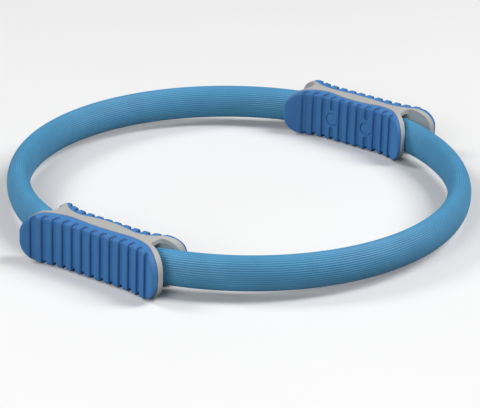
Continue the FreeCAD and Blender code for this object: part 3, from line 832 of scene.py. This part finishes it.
# %% Cut and place the pads
TURNS = {"right": 0.0, "left": math.pi}
GROOVE_DROP = 2.5 * MM
GROOVE_RUN_OUT = 2 * MM
PLUG_GROOVE = 2
NO_GROOVE = -1
HOLE_RADIUS = 5.8 * MM
PLUG_CLEAR = HOLE_RADIUS + 1.9 * MM
for side in (OUTER, INNER):
    smooth = blank(side)
    sizes = GROOVES[side.name]
    plugged = side is INNER
    for hand, turn in TURNS.items():
        node = f"{hand}_{side.name}_pad"
        pad = grow(f"{node}_ribbed", smooth, GROOVE_TREE, {
            "Pitch": sizes["pitch"], "Last": float(sizes["last"]), "Half Width": GROOVE_HALF,
            "Lip": GROOVE_LIP, "Draft": GROOVE_DRAFT, "Floor": GROOVE_FLOOR, "Depth": sizes["depth"],
            "Drop": GROOVE_DROP, "Rim": sizes["rim"], "Run Out": GROOVE_RUN_OUT, "Way": float(side.way),
            "Mid Height": MID_HEIGHT, "Plugs": plugged,
            "Plug Groove": float(PLUG_GROOVE if plugged else NO_GROOVE), "Plug Clear": PLUG_CLEAR,
            "Hole Radius": HOLE_RADIUS, "Hole Place": PLUG_GROOVE * sizes["pitch"], "Hole Out": side.level,
            "Material": PAD_RUBBER})
        pad.data.transform(Matrix.Rotation(turn, 4, "Z"))
        soften(pad)
        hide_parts(node)
        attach(pad, f"{hand}_grip")
        print(pad.name, len(pad.data.polygons), "faces")

# %% [markdown]
# ## Plugs, screws and inserts
# A round rubber plug closes each inner pad over a screw. It is turned from half of its section: a face that
# lies just below the ribs, a rounded edge, and straight sides. The screws and inserts behind it are shown as
# the frame has them.

# %% Turn the plugs
PLUG_SIDES = 64
PLUG_ROUND = 0.7 * MM
PLUG_RECESS = 0.5 * MM
FACE_SHARES = (0.0, 0.35, 0.7, 0.9)


def turned_plug(name, node, way):
    """A plug in place of a frame node, with its face towards the middle of the ring."""
    low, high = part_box(node)
    centre = (low + high) / 2
    radius = (high.z - low.z) / 2
    face, rear = (low.x, high.x) if way > 0 else (high.x, low.x)
    face += way * PLUG_RECESS
    length = abs(rear - face)
    section = [(share * (radius - PLUG_ROUND), 0.0) for share in FACE_SHARES]
    for turn in np.linspace(0, math.pi / 2, 5):
        section.append((radius - PLUG_ROUND * (1 - math.sin(turn)), PLUG_ROUND * (1 - math.cos(turn))))
    section += [(radius, length), (0.0, length)]
    solid = bmesh.new()
    line = [solid.verts.new((face + way * inward, centre.y, centre.z + out)) for out, inward in section]
    edges = [solid.edges.new(pair) for pair in zip(line, line[1:])]
    bmesh.ops.spin(
        solid, geom=[*line, *edges], cent=centre, axis=(1, 0, 0), angle=2 * math.pi, steps=PLUG_SIDES)
    bmesh.ops.remove_doubles(solid, verts=solid.verts, dist=MERGE)
    bmesh.ops.recalc_face_normals(solid, faces=solid.faces)
    return new_piece(name, solid, PAD_RUBBER)


for hand, way in HANDS.items():
    for half in ("front", "back"):
        node = f"{hand}_{half}_plug"
        plug = turned_plug(f"{node}_cap", node, way)
        soften(plug)
        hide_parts(node)
        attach(plug, f"{hand}_grip")
        print(plug.name, len(plug.data.polygons), "faces")

# %% [markdown]
# ## Steel and brass
# The screws are zinc-plated steel and the inserts are turned brass. Both are metals, so their colour comes
# from reflections. The lathe leaves fine streaks round the axis, drawn coarser than they are, so that they
# show.


# %% Materials: plated steel and turned brass
def turned_metal(name, dull, bright, rough):
    material, tree = new_material(name)
    place = add(tree, "ShaderNodeTexCoord").outputs["Object"]
    lathe = add(tree, "ShaderNodeMapping", {
        "Vector": place, "Scale": (per_metre(0.3), per_metre(6), per_metre(6))})
    streak = add(tree, "ShaderNodeTexNoise", {"Vector": lathe, "Scale": 1.0, "Detail": 3.0})
    tone = add(tree, "ShaderNodeMix", {
        "Factor": streak, "A": linear(dull), "B": linear(bright)}, data_type="RGBA")
    gloss = add(tree, "ShaderNodeMapRange", {
        "Value": streak, "To Min": rough - 0.07, "To Max": rough + 0.07})
    end_material(tree, {"Base Color": tone, "Roughness": gloss, "Metallic": 1.0})
    return material


PLATED_STEEL = turned_metal("zinc_plated_steel", "#9ea3a8", "#c4c8cc", 0.32)
TURNED_BRASS = turned_metal("turned_brass", "#b08a45", "#d6b06a", 0.28)
for name, node in NODES.items():
    for ending, metal in (("_screw", PLATED_STEEL), ("_insert", TURNED_BRASS)):
        if name.endswith(ending):
            node.data.materials.clear()
            node.data.materials.append(metal)
            print(name, "in", metal.name)

# %% [markdown]
# ## Floor, light and camera
# The ring lies on a plain pale floor under soft studio light: a high key lamp, lamps at the right, left and
# front, and an even sky. The floor looks white to the camera, but throws back only about a third of the
# light, so that the undersides stay dark. The camera stands where the photograph was taken from, with a long
# lens.


# %% The floor
def pale_floor():
    material, tree = new_material("pale_floor")
    place = add(tree, "ShaderNodeTexCoord").outputs["Object"]
    cloud = add(tree, "ShaderNodeTexNoise", {"Vector": place, "Scale": per_metre(300)})
    tone = add(tree, "ShaderNodeMix", {
        "Factor": cloud, "A": linear("#f4f4f4"), "B": linear("#f8f8f8")}, data_type="RGBA")
    camera_ray = add(tree, "ShaderNodeLightPath").outputs["Is Camera Ray"]
    seen = add(tree, "ShaderNodeMix", {
        "Factor": camera_ray, "A": linear("#9c9a98"), "B": tone}, data_type="RGBA")
    end_material(tree, {"Base Color": seen, "Roughness": 0.9, "Specular IOR Level": 0.1})
    return material


FLOOR_HALF = 6.0
corners = [(x * FLOOR_HALF, y * FLOOR_HALF, 0) for x, y in ((-1, -1), (1, -1), (1, 1), (-1, 1))]
sheet = bpy.data.meshes.new("floor")
sheet.from_pydata(corners, [], [(0, 1, 2, 3)])
sheet.materials.append(pale_floor())
floor = bpy.data.objects.new("floor", sheet)
bpy.context.scene.collection.objects.link(floor)
floor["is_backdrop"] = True
print("floor", 2 * FLOOR_HALF, "m across")

# %% The light
SKY_STRENGTH = 0.14
world = bpy.data.worlds.new("studio")
bpy.context.scene.world = world
world.use_nodes = True
world.node_tree.nodes.clear()
camera_ray = add(world.node_tree, "ShaderNodeLightPath").outputs["Is Camera Ray"]
strength = add(world.node_tree, "ShaderNodeMapRange", {
    "Value": camera_ray, "To Min": SKY_STRENGTH, "To Max": 1.0})
sky = add(world.node_tree, "ShaderNodeBackground", {"Color": linear("#ffffff"), "Strength": strength})
add(world.node_tree, "ShaderNodeOutputWorld", {"Surface": sky})


def softbox(name, place, size, power):
    """A large soft lamp that looks at the ring, in metres and watts."""
    lamp = bpy.data.lights.new(name, "AREA")
    lamp.shape = "DISK"
    lamp.size = size
    lamp.energy = power
    box = bpy.data.objects.new(name, lamp)
    bpy.context.scene.collection.objects.link(box)
    box.location = place
    box.rotation_euler = (-Vector(place)).to_track_quat("-Z", "Y").to_euler()
    print(name, "at", place)


softbox("key_softbox", place=(0.9, -1.3, 2.7), size=1.1, power=30.0)
softbox("right_softbox", place=(1.3, -1.8, 2.0), size=1.1, power=31.0)
softbox("left_softbox", place=(-0.8, 1.7, 1.8), size=1.0, power=21.0)
softbox("front_softbox", place=(-2.1, -0.35, 1.25), size=1.3, power=23.0)

# %% The camera
IMAGE_WIDTH = 480
IMAGE_HEIGHT = 408
RING_PIXEL = (239.25, 180.13)
FOCAL_PIXELS = 2417
SENSOR_WIDTH_MM = 36
DISTANCE = 1936 * MM
ELEVATION = math.radians(22.84)
HEADING = math.radians(215.25)
LEAN = math.radians(1.63)

camera = bpy.data.cameras.new("camera")
camera.sensor_width = SENSOR_WIDTH_MM
camera.lens = FOCAL_PIXELS * SENSOR_WIDTH_MM / IMAGE_WIDTH
camera.shift_x = (IMAGE_WIDTH / 2 - RING_PIXEL[0]) / IMAGE_WIDTH
camera.shift_y = (RING_PIXEL[1] - IMAGE_HEIGHT / 2) / IMAGE_WIDTH
eye = bpy.data.objects.new("camera", camera)
bpy.context.scene.collection.objects.link(eye)
towards = Vector((
    math.cos(HEADING) * math.cos(ELEVATION), math.sin(HEADING) * math.cos(ELEVATION), math.sin(ELEVATION)))
level_turn = (-towards).to_track_quat("-Z", "Y").to_matrix()
eye.rotation_euler = (level_turn @ Matrix.Rotation(LEAN, 3, "Z")).to_euler()
eye.location = STILL + towards * DISTANCE
bpy.context.scene.camera = eye
bpy.context.scene.view_settings.view_transform = "Standard"
print("camera", round(camera.lens, 1), "mm lens,", DISTANCE, "m away")

# %% [markdown]
# ## The size of the dressed ring
# The model's box and the dressed ring's box are printed side by side.

# %% Print the two boxes
VISUAL_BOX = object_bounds()
for label, (low, high) in (("model", CAD_BOX), ("dressed", VISUAL_BOX)):
    print(label, [round((b - a) * 1000, 1) for a, b in zip(low, high)], "mm")
